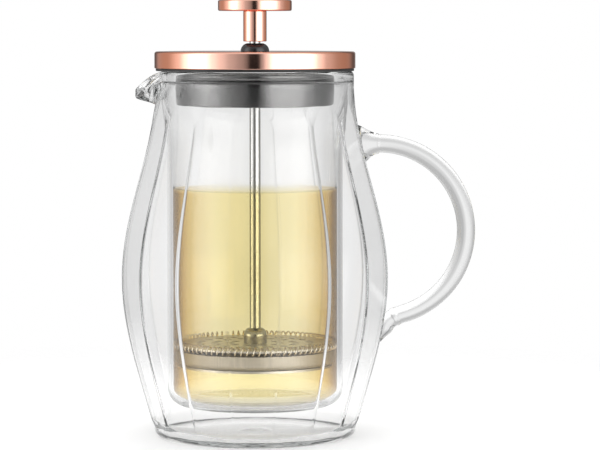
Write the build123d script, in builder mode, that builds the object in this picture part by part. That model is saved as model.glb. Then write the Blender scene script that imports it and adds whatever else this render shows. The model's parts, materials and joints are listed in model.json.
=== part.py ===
"""Double-wall glass french press with a lift-off lid and a sliding filter plunger.

Units are millimetres.  +Z is up, the origin is the centre of the base on the table,
+X points to the handle and -X to the pouring spout.
"""
from build123d import *
import os

os.makedirs("parts", exist_ok=True)

# ---------------------------------------------------------------- driving dimensions
# outer glass body: a barrel of flat facets between a round foot and a round neck
FACETS = 16
BASE_R = 42.5                 # flat ring the body stands on
FOOT_R = 47.2                 # top of the rounded foot corner
FOOT_H = 9.0
BELLY_R = 60.0                # widest apothem of the barrel
BELLY_Z = 73.5
NECK_R = 44.8
NECK_Z = 158.0                # where the two glass walls meet the rim
RIM_Z = 166.0                 # top of the rim, which the lid rests on
WALL = 2.2                    # outer wall
FLOOR = 2.4                   # outer floor
PIP_R = 5.0                   # glass bead over the vent hole
PIP_H = 1.4

# inner glass vessel: a straight cylinder that flares out to the rim
VESSEL_R = 39.2
VESSEL_WALL = 2.0
VESSEL_Z = 14.6               # underside of the vessel's floor
VESSEL_FLOOR = 2.4
VESSEL_CORNER = 7.5
FLARE_Z = 143.0               # where the flare begins
FLARE_R = 42.4                # its outer radius at the neck
LIP_OUT = 1.6                 # rounding of the rim's outer and inner edges
LIP_IN = 1.2

# spout: a tapered trough on the -X side
SPOUT_TIP = 54.2
SPOUT_ROOT = 38.0
SPOUT_WALL = 2.0

# handle: a glass rod bent round a circle
ROD_R = 4.1
LOOP_R = 39.6
LOOP_X = 56.3
LOOP_Z = 93.5
PAD_R = 8.6                   # flared root where the rod is fused to the wall
LEAD_TOP = 14.0               # straight runs of the rod into the two roots
LEAD_LOW = 6.0

# lid
CAP_R = 45.5
CAP_Z = 167.2
CAP_H = 7.6
CAP_T = 0.8
SKIRT_R = 36.0
SKIRT_Z = 150.0
SKIRT_T = 0.6
BEAD_Z = 162.2                # groove pressed round the skirt
BEAD_H = 0.8
GASKET_IN = 36.3
GASKET_OUT = 44.9

# plunger
SHAFT_R = 2.5
RUNNING = 0.05                # radial clearance of a turning or sliding fit
BUSH_R = 4.6                  # sleeve of the bushing
DOME_R = 6.5
DOME_H = 3.7
GUIDE_H = 4.4                 # how far the guide reaches below the cap
WASHER_R = 8.2
WASHER_T = 0.8
NUT_H = 3.0
NUT_R = 7.5                   # across half the flats
STEM_R = 5.3
STEM_Z = 179.3
STEM_H = 13.8
KNOB_R = 16.7
KNOB_H = 4.9
KNOB_WALL = 1.6
KNOB_TOP = 1.2
TUBE_WALL = 1.4               # stem
SPIGOT = 1.0
SCREW_H = 10.0                # shaft end inside the brass insert
INSERT_H = 14.0

# filter stack, from the cross plate up
FILTER_R = 35.2
FILTER_Z = 32.4
COIL_R = 34.9                 # centre circle of the coil spring
COIL_TUBE = 1.8               # half the height of the coil
COIL_Z = 42.0
PLATE_Z = 41.6
PLATE_T = 0.8
HUB_R = 5.2
HUB_TOP = 49.4
HUB_DOME = 3.4
HUB_SOCKET = 4.0
STUD_R = 1.9                  # thinner threaded end of the shaft
STUD_OUT = 4.0                # how far it stands out below
SCREEN_T = 0.5
SCREEN_CORNER = 2.4
CROSS_T = 1.0
SPOKES = 6

cap_top = CAP_Z + CAP_H
knob_z = STEM_Z + STEM_H
pieces = []


def finish(builder, name):
    """Label one finished piece and keep it for export."""
    builder.part.label = name
    pieces.append(builder.part)
    return builder.part


def ring(inner, outer, bottom, height, name):
    """A plain flat ring or sleeve standing on the plane z = bottom."""
    with BuildPart() as made:
        with BuildSketch(Plane.XY.offset(bottom)):
            Circle(outer)
            if inner > 0:
                Circle(inner, mode=Mode.SUBTRACT)
        extrude(amount=height)
    return finish(made, name) if name else made.part


# ---------------------------------------------------------------- outer glass wall
def barrel_side(shrink):
    """Points of the barrel's side from foot to neck, moved inwards by shrink."""
    side = [
        (48.0, 12.0),
        (55.5, 39.4),
        (BELLY_R, BELLY_Z),
        (56.9, 98.5),
        (49.9, 126.0),
        (45.7, 147.0),
        (NECK_R, NECK_Z),
    ]
    return [(r - shrink, z) for r, z in side]


def make_barrel():
    """The solid barrel: one slab with the side's outline for each pair of facets."""
    with BuildPart() as slab:
        with BuildSketch(Plane.XZ):
            with BuildLine():
                side = Spline(*barrel_side(0))
                foot = Line((BASE_R, 0), side @ 0)
                Line((0, 0), foot @ 0)
                top = Line(side @ 1, (0, NECK_Z))
                Line(top @ 1, (0, 0))
            make_face()
            mirror(about=Plane.YZ)
        extrude(amount=1.2 * BELLY_R, both=True)
    # round foot and round neck, which the facets fade into
    with BuildPart() as envelope:
        with BuildSketch(Plane.XZ):
            with BuildLine():
                Line((0, 0), (BASE_R - 1.5, 0))
                corner = ThreePointArc((BASE_R - 1.5, 0), (45.6, 3.0), (FOOT_R, FOOT_H))
                cone = Line(corner @ 1, (64.0, 55.0))
                shoulder = Line(cone @ 1, (64.0, 95.0))
                neck = Polyline(shoulder @ 1, (46.4, 147.0), (NECK_R, NECK_Z), (0, NECK_Z))
                Line(neck @ 1, (0, 0))
            make_face()
        revolve(axis=Axis.Z)
    with BuildPart() as barrel:
        add(slab.part)
        for k in range(1, FACETS // 2):
            add(slab.part, rotation=(0, 0, k * 360 / FACETS), mode=Mode.INTERSECT)
        add(envelope.part, mode=Mode.INTERSECT)
    return barrel.part


def make_outer_shell(barrel, spout_form):
    """The faceted wall with a round inside, open at the neck."""
    with BuildPart() as outer_shell:
        add(barrel)
        with BuildSketch(Plane.XZ):
            with BuildLine():
                side = Spline(*barrel_side(WALL))
                corner = ThreePointArc((BASE_R - 4, FLOOR), (44.2, 5.4), side @ 0)
                Line((0, FLOOR), corner @ 0)
                top = Line(side @ 1, (0, NECK_Z))
                Line(top @ 1, (0, FLOOR))
            make_face()
        revolve(axis=Axis.Z, mode=Mode.SUBTRACT)
        add(spout_form, mode=Mode.SUBTRACT)
    return finish(outer_shell, "outer_shell")


# ---------------------------------------------------------------- inner glass vessel
def make_inner_vessel(spout_form):
    """The straight-sided brewing vessel, hung from the rim by its flare."""
    inner_r = VESSEL_R - VESSEL_WALL
    inner_floor = VESSEL_Z + VESSEL_FLOOR
    inner_corner = VESSEL_CORNER - VESSEL_WALL
    with BuildPart() as inner_vessel:
        with BuildSketch(Plane.XZ):
            with BuildLine():
                Line((0, VESSEL_Z), (VESSEL_R - VESSEL_CORNER, VESSEL_Z))
                RadiusArc((VESSEL_R - VESSEL_CORNER, VESSEL_Z),
                          (VESSEL_R, VESSEL_Z + VESSEL_CORNER), -VESSEL_CORNER)
                Line((VESSEL_R, VESSEL_Z + VESSEL_CORNER), (VESSEL_R, FLARE_Z))
                Spline((VESSEL_R, FLARE_Z), (FLARE_R, NECK_Z),
                       tangents=[(0, 1), (0.1, 1)])
                Line((FLARE_R, NECK_Z), (FLARE_R - VESSEL_WALL, NECK_Z))
                Spline((FLARE_R - VESSEL_WALL, NECK_Z), (inner_r, FLARE_Z),
                       tangents=[(-0.1, -1), (0, -1)])
                Line((inner_r, FLARE_Z), (inner_r, inner_floor + inner_corner))
                RadiusArc((inner_r, inner_floor + inner_corner),
                          (inner_r - inner_corner, inner_floor), inner_corner)
                Line((inner_r - inner_corner, inner_floor), (0, inner_floor))
                Line((0, inner_floor), (0, VESSEL_Z))
            make_face()
        revolve(axis=Axis.Z)
        add(spout_form, mode=Mode.SUBTRACT)
    return finish(inner_vessel, "inner_vessel")


def make_sealing_pip():
    """The low glass bead that seals the vent hole, on the inside of the outer floor."""
    with BuildPart() as sealing_pip:
        with BuildSketch(Plane.XY.offset(FLOOR)):
            Circle(PIP_R)
        extrude(amount=PIP_H)
        fillet(sealing_pip.edges().group_by(Axis.Z)[-1], radius=PIP_H - 0.1)
    return finish(sealing_pip, "sealing_pip")


# ---------------------------------------------------------------- rim and spout
def spout_loft(shrink):
    """A tapered form from inside the neck to the spout's tip."""
    with BuildPart() as form:
        with BuildSketch(Plane.YZ.offset(-SPOUT_ROOT)):
            with Locations((0, 164.0)):
                Ellipse(13.0 - shrink, 13.5 - shrink)
        with BuildSketch(Plane.YZ.offset(-SPOUT_TIP)):
            with Locations((0, 158.4)):
                Ellipse(4.4 - 0.9 * shrink, 3.6 - 0.9 * shrink)
        loft()
    return form.part


def make_pouring_rim(spout_form):
    """The rounded rim that joins both walls."""
    inner = FLARE_R - VESSEL_WALL
    with BuildPart() as pouring_rim:
        with BuildSketch(Plane.XZ):
            with BuildLine():
                base = Line((inner, NECK_Z), (NECK_R, NECK_Z))
                outside = Line(base @ 1, (NECK_R, RIM_Z - LIP_OUT))
                lip = RadiusArc(outside @ 1, (NECK_R - LIP_OUT, RIM_Z), -LIP_OUT)
                top = Line(lip @ 1, (inner + LIP_IN, RIM_Z))
                inside = RadiusArc(top @ 1, (inner, RIM_Z - LIP_IN), -LIP_IN)
                Line(inside @ 1, (inner, NECK_Z))
            make_face()
        revolve(axis=Axis.Z)
        add(spout_form, mode=Mode.SUBTRACT)
    return finish(pouring_rim, "pouring_rim")


def make_pouring_spout(spout_form):
    """The trough of the spout, its edges falling at 45 degrees from the rim to the tip."""
    with BuildPart() as pouring_spout:
        add(spout_form)
        add(spout_loft(SPOUT_WALL), mode=Mode.SUBTRACT)
        # the sloping mouth
        with BuildSketch(Plane.XZ):
            with BuildLine():
                Polyline((-46.0, 165.0), (-58.0, 153.6), (-58.0, 185.0), (-30.0, 185.0),
                         (-30.0, 165.0), close=True)
            make_face()
        extrude(amount=20, both=True, mode=Mode.SUBTRACT)
        # the trough begins at the vessel's inside
        with BuildSketch(Plane.XY.offset(VESSEL_Z)):
            Circle(FLARE_R - VESSEL_WALL - 0.9)
        extrude(amount=200, mode=Mode.SUBTRACT)
    return finish(pouring_spout, "pouring_spout")


# ---------------------------------------------------------------- handle
def make_glass_handle(barrel):
    """A solid glass rod: straight out of the neck, then round to the lower root."""
    top_z = LOOP_Z + LOOP_R
    low_z = LOOP_Z - LOOP_R
    with BuildPart() as glass_handle:
        with BuildLine() as path:
            Line((LOOP_X - LEAD_TOP, 0, top_z), (LOOP_X, 0, top_z))
            bend = Plane(origin=(LOOP_X, 0, LOOP_Z), x_dir=(1, 0, 0), z_dir=(0, -1, 0))
            with BuildLine(bend):
                CenterArc((0, 0), LOOP_R, 90, -180)
            Line((LOOP_X, 0, low_z), (LOOP_X - LEAD_LOW, 0, low_z))
        with BuildSketch(Plane(origin=(LOOP_X - LEAD_TOP, 0, top_z), z_dir=(1, 0, 0))):
            Circle(ROD_R)
        sweep(path=path.line)
        # flared roots
        with BuildSketch(Plane(origin=(46.0, 0, top_z), x_dir=(0, 1, 0), z_dir=(1, 0, 0))):
            Circle(PAD_R)
        with BuildSketch(Plane(origin=(53.5, 0, top_z), x_dir=(0, 1, 0), z_dir=(1, 0, 0))):
            Circle(ROD_R)
        loft()
        with BuildSketch(Plane(origin=(56.0, 0, low_z - 4.5), x_dir=(0, 1, 0), z_dir=(1, 0, 0))):
            Ellipse(PAD_R - 1.0, PAD_R + 2.0)
        with BuildSketch(Plane(origin=(63.0, 0, low_z + 0.4), x_dir=(0, 1, 0), z_dir=(1, 0, 0))):
            Circle(ROD_R)
        loft()
        add(barrel, mode=Mode.SUBTRACT)
    return finish(glass_handle, "glass_handle")


# ---------------------------------------------------------------- lid
def make_lid_cap():
    """The plated metal cap: a shallow drawn cup with a rolled top edge."""
    with BuildPart() as lid_cap:
        with BuildSketch(Plane.XY.offset(CAP_Z)):
            Circle(CAP_R)
        extrude(amount=CAP_H)
        fillet(lid_cap.edges().group_by(Axis.Z)[-1], radius=1.1)
        with BuildSketch(Plane.XY.offset(CAP_Z)):
            Circle(CAP_R - CAP_T)
        extrude(amount=CAP_H - CAP_T, mode=Mode.SUBTRACT)
        with BuildSketch(Plane.XY.offset(CAP_Z)):
            Circle(BUSH_R + RUNNING)
        extrude(amount=CAP_H, mode=Mode.SUBTRACT)
    return finish(lid_cap, "lid_cap")


def make_lid_core():
    """The plastic insulating core pressed into the cap."""
    with BuildPart() as lid_core:
        with BuildSketch(Plane.XY.offset(CAP_Z + SKIRT_T)):
            Circle(CAP_R - CAP_T)
            Circle(BUSH_R + RUNNING, mode=Mode.SUBTRACT)
        extrude(amount=CAP_H - CAP_T - SKIRT_T)
    return finish(lid_core, "lid_core")


def make_lid_skirt():
    """The steel skirt: an upturned cup with a bead round its wall and a flange in the cap."""
    with BuildPart() as lid_skirt:
        with BuildSketch(Plane.XZ):
            with BuildLine():
                Polyline((BUSH_R + RUNNING, CAP_Z), (SKIRT_R - SKIRT_T, CAP_Z),
                         (SKIRT_R - SKIRT_T, BEAD_Z + BEAD_H), (SKIRT_R - SKIRT_T - 0.3, BEAD_Z),
                         (SKIRT_R - SKIRT_T, BEAD_Z - BEAD_H), (SKIRT_R - SKIRT_T, SKIRT_Z),
                         (SKIRT_R, SKIRT_Z), (SKIRT_R, BEAD_Z - BEAD_H), (SKIRT_R - 0.35, BEAD_Z),
                         (SKIRT_R, BEAD_Z + BEAD_H), (SKIRT_R, CAP_Z), (CAP_R - CAP_T, CAP_Z),
                         (CAP_R - CAP_T, CAP_Z + SKIRT_T), (BUSH_R + RUNNING, CAP_Z + SKIRT_T),
                         close=True)
            make_face()
        revolve(axis=Axis.Z)
    return finish(lid_skirt, "lid_skirt")


def make_lid_gasket():
    """The silicone ring between the cap and the glass rim."""
    with BuildPart() as lid_gasket:
        with BuildSketch(Plane.XY.offset(RIM_Z)):
            Circle(GASKET_OUT)
            Circle(GASKET_IN, mode=Mode.SUBTRACT)
        extrude(amount=CAP_Z - RIM_Z)
    return finish(lid_gasket, "lid_gasket")


# ---------------------------------------------------------------- bushing
def make_rod_bushing():
    """The domed plastic guide that the plunger's shaft slides and turns in."""
    bore = SHAFT_R + RUNNING
    foot = CAP_Z - GUIDE_H
    with BuildPart() as rod_bushing:
        with BuildSketch(Plane.XZ):
            with BuildLine():
                sleeve = Polyline((bore, foot), (BUSH_R, foot), (BUSH_R, cap_top),
                                  (DOME_R, cap_top))
                dome = ThreePointArc(sleeve @ 1, (5.4, cap_top + 2.5),
                                     (bore + 0.6, cap_top + DOME_H))
                crown = Line(dome @ 1, (bore, cap_top + DOME_H))
                Line(crown @ 1, (bore, foot))
            make_face()
        revolve(axis=Axis.Z)
    return finish(rod_bushing, "rod_bushing")


def make_bushing_nut():
    """The thin hexagon nut that holds the bushing from below."""
    with BuildPart() as bushing_nut:
        with BuildSketch(Plane.XY.offset(CAP_Z - WASHER_T - NUT_H)):
            RegularPolygon(NUT_R, 6, major_radius=False)
            Circle(BUSH_R, mode=Mode.SUBTRACT)
        extrude(amount=NUT_H)
    return finish(bushing_nut, "bushing_nut")


# ---------------------------------------------------------------- knob and shaft
def make_plunger_shaft():
    """The long shaft, with a thinner threaded end at the filter."""
    with BuildPart() as plunger_shaft:
        with BuildSketch(Plane.XY.offset(HUB_TOP - HUB_SOCKET)):
            Circle(SHAFT_R)
        extrude(amount=STEM_Z + SCREW_H - HUB_TOP + HUB_SOCKET)
        chamfer(plunger_shaft.edges().group_by(Axis.Z)[-1], length=0.4)
        with BuildSketch(Plane.XY.offset(FILTER_Z - STUD_OUT)):
            Circle(STUD_R)
        extrude(amount=HUB_TOP - HUB_SOCKET + STUD_OUT - FILTER_Z)
        chamfer(plunger_shaft.edges().group_by(Axis.Z)[0], length=0.4)
    return finish(plunger_shaft, "plunger_shaft")


def make_knob_disc():
    """The plated top of the knob: a shallow cup with rounded edges."""
    with BuildPart() as knob_disc:
        with BuildSketch(Plane.XY.offset(knob_z)):
            Circle(KNOB_R)
        extrude(amount=KNOB_H)
        fillet(knob_disc.edges().group_by(Axis.Z)[-1], radius=1.0)
        fillet(knob_disc.edges().group_by(Axis.Z)[0], radius=0.4)
        with BuildSketch(Plane.XY.offset(knob_z)):
            Circle(KNOB_R - KNOB_WALL)
        extrude(amount=KNOB_H - KNOB_TOP, mode=Mode.SUBTRACT)
    return finish(knob_disc, "knob_disc")


def make_knob_back():
    """The plated plate that closes the knob from below."""
    with BuildPart() as knob_back:
        with BuildSketch(Plane.XY.offset(knob_z)):
            Circle(KNOB_R - KNOB_WALL)
            Circle(STEM_R - SPIGOT, mode=Mode.SUBTRACT)
        extrude(amount=KNOB_H - KNOB_TOP)
    return finish(knob_back, "knob_back")


def make_knob_stem():
    """The tubular stem under the knob, spigoted into the back plate."""
    with BuildPart() as knob_stem:
        with BuildSketch(Plane.XY.offset(STEM_Z)):
            Circle(STEM_R)
        extrude(amount=STEM_H)
        fillet(knob_stem.edges().group_by(Axis.Z)[0], radius=0.5)
        with BuildSketch(Plane.XY.offset(knob_z)):
            Circle(STEM_R - SPIGOT)
        extrude(amount=KNOB_H - KNOB_TOP)
        with BuildSketch(Plane.XY.offset(STEM_Z)):
            Circle(STEM_R - TUBE_WALL)
        extrude(amount=STEM_H + KNOB_H - KNOB_TOP, mode=Mode.SUBTRACT)
    return finish(knob_stem, "knob_stem")


def make_knob_insert():
    """The brass insert in the stem, which the shaft's top end screws into."""
    with BuildPart() as knob_insert:
        with BuildSketch(Plane.XY.offset(STEM_Z)):
            Circle(STEM_R - TUBE_WALL)
        extrude(amount=INSERT_H)
        with BuildSketch(Plane.XY.offset(STEM_Z)):
            Circle(SHAFT_R)
        extrude(amount=SCREW_H, mode=Mode.SUBTRACT)
    return finish(knob_insert, "knob_insert")


# ---------------------------------------------------------------- filter
def make_hub_nut():
    """The domed steel nut that clamps the filter plates to the shaft."""
    foot = PLATE_Z + PLATE_T
    with BuildPart() as hub_nut:
        with BuildSketch(Plane.XZ):
            with BuildLine():
                side = Polyline((STUD_R, foot), (HUB_R, foot), (HUB_R, HUB_TOP - HUB_DOME))
                dome = TangentArc(side @ 1, (SHAFT_R, HUB_TOP), tangent=(0, 1))
                Polyline(dome @ 1, (SHAFT_R, HUB_TOP - HUB_SOCKET), (STUD_R, HUB_TOP - HUB_SOCKET),
                         (STUD_R, foot))
            make_face()
        revolve(axis=Axis.Z)
    return finish(hub_nut, "hub_nut")


def make_spring_plate():
    """The upper plate, perforated with rings of round holes; the coil wraps its edge."""
    with BuildPart() as spring_plate:
        with BuildSketch(Plane.XY.offset(PLATE_Z)):
            Circle(COIL_R - 0.3)
            Circle(STUD_R, mode=Mode.SUBTRACT)
            for radius, count in ((11.0, 10), (18.0, 16), (25.0, 22)):
                with PolarLocations(radius, count):
                    Circle(1.9, mode=Mode.SUBTRACT)
        extrude(amount=PLATE_T)
    return finish(spring_plate, "spring_plate")


def make_coil_spring():
    """The ring that the coil spring fills, grooved for the edge of the upper plate."""
    with BuildPart() as coil_spring:
        with BuildSketch(Plane.XZ):
            with Locations((COIL_R, COIL_Z)):
                Circle(COIL_TUBE)
        revolve(axis=Axis.Z)
        with BuildSketch(Plane.XY.offset(PLATE_Z)):
            Circle(COIL_R - 0.3)
        extrude(amount=PLATE_T, mode=Mode.SUBTRACT)
    return finish(coil_spring, "coil_spring")


def make_mesh_screen():
    """The fine screen: a thin cup whose wall stands up inside the coil."""
    bottom = FILTER_Z + CROSS_T
    screen_top = COIL_Z - COIL_TUBE - 0.3
    with BuildPart() as mesh_screen:
        with BuildSketch(Plane.XZ):
            with BuildLine():
                floor = Line((STUD_R, bottom), (FILTER_R - SCREEN_CORNER, bottom))
                corner = RadiusArc(floor @ 1, (FILTER_R, bottom + SCREEN_CORNER), -SCREEN_CORNER)
                wall = Line(corner @ 1, (FILTER_R, screen_top))
                lip = Line(wall @ 1, (FILTER_R - SCREEN_T, screen_top))
                back = Line(lip @ 1, (FILTER_R - SCREEN_T, bottom + SCREEN_CORNER))
                inside = RadiusArc(back @ 1, (FILTER_R - SCREEN_CORNER, bottom + SCREEN_T),
                                   SCREEN_CORNER - SCREEN_T)
                Polyline(inside @ 1, (STUD_R, bottom + SCREEN_T), (STUD_R, bottom))
            make_face()
        revolve(axis=Axis.Z)
    return finish(mesh_screen, "mesh_screen")


def make_cross_plate():
    """The lower plate: a hub and a rim joined by spokes, holding the screen flat."""
    with BuildPart() as cross_plate:
        with BuildSketch(Plane.XY.offset(FILTER_Z)):
            Circle(FILTER_R - 1.2)
            Circle(FILTER_R - 5.2, mode=Mode.SUBTRACT)
            Circle(9.0)
            with PolarLocations(0, SPOKES):
                with Locations((19.0, 0)):
                    Rectangle(24.0, 4.6)
            Circle(STUD_R, mode=Mode.SUBTRACT)
        extrude(amount=CROSS_T)
    return finish(cross_plate, "cross_plate")


def make_hub_spacer():
    """The short sleeve that keeps the two plates apart."""
    bottom = FILTER_Z + CROSS_T + SCREEN_T
    return ring(STUD_R, 4.2, bottom, PLATE_Z - bottom, "hub_spacer")


def make_lock_nut():
    """The hexagon nut on the end of the shaft, under the cross plate."""
    with BuildPart() as lock_nut:
        with BuildSketch(Plane.XY.offset(FILTER_Z - WASHER_T - 2.6)):
            RegularPolygon(3.5, 6, major_radius=False)
            Circle(STUD_R, mode=Mode.SUBTRACT)
        extrude(amount=2.6)
    return finish(lock_nut, "lock_nut")


# ---------------------------------------------------------------- build and export
barrel = make_barrel()
spout_form = spout_loft(0)
make_outer_shell(barrel, spout_form)
make_inner_vessel(spout_form)
make_sealing_pip()
make_pouring_rim(spout_form)
make_pouring_spout(spout_form)
make_glass_handle(barrel)
make_lid_cap()
make_lid_core()
make_lid_skirt()
make_lid_gasket()
make_rod_bushing()
ring(BUSH_R, WASHER_R, CAP_Z - WASHER_T, WASHER_T, "bushing_washer")
make_bushing_nut()
make_plunger_shaft()
make_knob_disc()
make_knob_back()
make_knob_stem()
make_knob_insert()
make_hub_nut()
make_spring_plate()
make_coil_spring()
make_mesh_screen()
make_hub_spacer()
make_cross_plate()
ring(STUD_R, 5.4, FILTER_Z - WASHER_T, WASHER_T, "filter_washer")
make_lock_nut()

for piece in pieces:
    export_step(piece, f"parts/{piece.label}.step")
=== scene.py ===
"""Looks of a double-wall glass french press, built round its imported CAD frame.

Everything is in metres in the frame's own axes: +Z up, +X to the handle, -X to the spout.
"""
import json
import math

import bmesh
import bpy
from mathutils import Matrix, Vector


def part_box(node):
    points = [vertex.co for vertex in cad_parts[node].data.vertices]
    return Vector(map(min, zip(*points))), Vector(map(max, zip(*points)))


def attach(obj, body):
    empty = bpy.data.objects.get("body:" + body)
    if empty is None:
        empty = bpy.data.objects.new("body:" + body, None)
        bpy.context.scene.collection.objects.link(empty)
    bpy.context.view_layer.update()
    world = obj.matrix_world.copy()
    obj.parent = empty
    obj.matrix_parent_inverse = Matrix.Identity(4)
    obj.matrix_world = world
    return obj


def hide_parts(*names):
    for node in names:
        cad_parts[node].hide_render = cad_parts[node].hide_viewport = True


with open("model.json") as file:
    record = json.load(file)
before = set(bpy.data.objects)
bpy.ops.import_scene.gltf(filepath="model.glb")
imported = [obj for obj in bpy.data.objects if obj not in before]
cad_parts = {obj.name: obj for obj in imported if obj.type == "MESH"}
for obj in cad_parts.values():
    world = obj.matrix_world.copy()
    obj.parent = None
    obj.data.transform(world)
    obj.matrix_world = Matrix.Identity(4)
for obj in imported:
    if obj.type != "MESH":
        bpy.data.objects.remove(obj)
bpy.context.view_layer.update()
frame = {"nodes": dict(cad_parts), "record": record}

MM = 0.001
TAU = 2 * math.pi

# ---------------------------------------------------------------- sizes read from the frame
_, shell_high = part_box("outer_shell")
vessel_low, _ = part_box("inner_vessel")
_, rim_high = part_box("pouring_rim")
spout_low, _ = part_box("pouring_spout")
_, handle_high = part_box("glass_handle")
cap_low, cap_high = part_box("lid_cap")
skirt_low, skirt_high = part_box("lid_skirt")
gasket_low, gasket_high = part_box("lid_gasket")
bush_low, bush_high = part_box("rod_bushing")
shaft_low, shaft_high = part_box("plunger_shaft")
disc_low, disc_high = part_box("knob_disc")
stem_low, stem_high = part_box("knob_stem")
hub_low, hub_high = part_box("hub_nut")
coil_low, coil_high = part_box("coil_spring")

BELLY_R = shell_high.x
NECK_Z = shell_high.z
RIM_Z = rim_high.z
RIM_R = rim_high.y
SPOUT_TIP = -spout_low.x


# ---------------------------------------------------------------- small mesh tools
def steps(low, high, count):
    """Evenly spaced values from low to high, both included."""
    return [low + (high - low) * k / count for k in range(count + 1)]


def arc(cx, cz, radius, start, end, count):
    """(r, z) points on an arc, angles in degrees."""
    return [(cx + radius * math.cos(math.radians(a)), cz + radius * math.sin(math.radians(a)))
            for a in steps(start, end, count)]


def new_object(name, mesh):
    """Link a mesh as a new smooth-shaded object."""
    for face in mesh.polygons:
        face.use_smooth = True
    obj = bpy.data.objects.new(name, mesh)
    bpy.context.scene.collection.objects.link(obj)
    return obj


def ring_faces(rings, ring_size, closed):
    """Quads between successive rings of vertices."""
    faces = []
    spans = rings if closed else rings - 1
    for i in range(spans):
        a = i * ring_size
        b = ((i + 1) % rings) * ring_size
        for j in range(ring_size):
            k = (j + 1) % ring_size
            faces.append((a + j, a + k, b + k, b + j))
    return faces


def rounded(points, radius, closed=False, steps=5):
    """A polyline with each corner rounded by radius and a support point beside each round."""
    made = []
    count = len(points)
    for i, (x, z) in enumerate(points):
        if not closed and i in (0, count - 1):
            made.append((x, z))
            continue
        here = Vector((x, z))
        back = Vector(points[i - 1]) - here
        ahead = Vector(points[(i + 1) % count]) - here
        half = back.angle(ahead) / 2
        reach = min(radius / math.tan(half), 0.45 * back.length, 0.45 * ahead.length)
        real = reach * math.tan(half)
        middle = here + (back.normalized() + ahead.normalized()).normalized() * (real / math.sin(half))
        start = here + back.normalized() * reach
        end = here + ahead.normalized() * reach
        made.append(tuple(start + back.normalized() * 0.06 * reach))
        for k in range(steps + 1):
            t = k / steps
            arm = (start - middle).lerp(end - middle, t).normalized() * real
            made.append(tuple(middle + arm))
        made.append(tuple(end + ahead.normalized() * 0.06 * reach))
    return made


def lathe(name, profile, closed=False, segments=160):
    """Turn a profile of (radius, height) points round the Z axis; a radius of 0 ends in a pole."""
    verts = []
    faces = []
    start_pole = not closed and profile[0][0] < 1e-9
    end_pole = not closed and profile[-1][0] < 1e-9
    body = profile[(1 if start_pole else 0): (len(profile) - 1 if end_pole else len(profile))]
    for r, z in body:
        for j in range(segments):
            a = TAU * j / segments
            verts.append((r * math.cos(a), r * math.sin(a), z))
    faces += ring_faces(len(body), segments, closed)
    if start_pole:
        verts.append((0, 0, profile[0][1]))
        faces += [(len(verts) - 1, (j + 1) % segments, j) for j in range(segments)]
    if end_pole:
        verts.append((0, 0, profile[-1][1]))
        last = (len(body) - 1) * segments
        faces += [(len(verts) - 1, last + j, last + (j + 1) % segments) for j in range(segments)]
    mesh = bpy.data.meshes.new(name)
    mesh.from_pydata(verts, [], faces)
    return new_object(name, mesh)


def face_outwards(obj):
    """Make a closed mesh's normals point out of it."""
    made = bmesh.new()
    made.from_mesh(obj.data)
    bmesh.ops.recalc_face_normals(made, faces=made.faces)
    made.to_mesh(obj.data)
    made.free()


def cubic(points):
    """A natural cubic spline r(z) through (r, z) points."""
    zs = [z for _, z in points]
    rs = [r for r, _ in points]
    n = len(points)
    h = [zs[i + 1] - zs[i] for i in range(n - 1)]
    slope = [(rs[i + 1] - rs[i]) / h[i] for i in range(n - 1)]
    diag = [1.0] * n
    upper = [0.0] * n
    rhs = [0.0] * n
    for i in range(1, n - 1):
        diag[i] = 2 * (h[i - 1] + h[i]) - h[i - 1] * upper[i - 1]
        upper[i] = h[i] / diag[i]
        rhs[i] = (6 * (slope[i] - slope[i - 1]) - h[i - 1] * rhs[i - 1]) / diag[i]
    bend = [0.0] * n
    for i in range(n - 2, 0, -1):
        bend[i] = rhs[i] - upper[i] * bend[i + 1]

    def value(z):
        i = max(0, min(n - 2, sum(1 for k in zs[1:-1] if z >= k)))
        t = z - zs[i]
        b = slope[i] - h[i] * (2 * bend[i] + bend[i + 1]) / 6
        return rs[i] + t * (b + t * (bend[i] / 2 + t * (bend[i + 1] - bend[i]) / (6 * h[i])))

    return value


def smooth(t):
    """0 below 0, 1 above 1, smooth between."""
    t = max(0.0, min(1.0, t))
    return t * t * (3 - 2 * t)


# ---------------------------------------------------------------- materials
def material(name):
    """An empty node material and its Principled shader."""
    made = bpy.data.materials.new(name)
    made.use_nodes = True
    return made, made.node_tree, made.node_tree.nodes["Principled BSDF"]


def noise(tree, scale, detail=3.0, stretch=(1, 1, 1)):
    """A noise pattern in the piece's own coordinates."""
    coords = tree.nodes.new("ShaderNodeTexCoord")
    mapping = tree.nodes.new("ShaderNodeMapping")
    mapping.inputs["Scale"].default_value = stretch
    texture = tree.nodes.new("ShaderNodeTexNoise")
    texture.inputs["Scale"].default_value = scale
    texture.inputs["Detail"].default_value = detail
    tree.links.new(coords.outputs["Object"], mapping.inputs["Vector"])
    tree.links.new(mapping.outputs["Vector"], texture.inputs["Vector"])
    return texture.outputs["Fac"]


def spread(tree, value, low, high, to=(0.0, 1.0), kind="LINEAR"):
    """Stretch the values between low and high over another range."""
    node = tree.nodes.new("ShaderNodeMapRange")
    node.interpolation_type = kind
    node.inputs["From Min"].default_value = low
    node.inputs["From Max"].default_value = high
    node.inputs["To Min"].default_value = to[0]
    node.inputs["To Max"].default_value = to[1]
    tree.links.new(value, node.inputs["Value"])
    return node.outputs["Result"]


def ramp(tree, pattern, low, high):
    """Turn a noise pattern, which stays near the middle, into values from low to high."""
    return spread(tree, pattern, 0.3, 0.7, to=(low, high))


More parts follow.
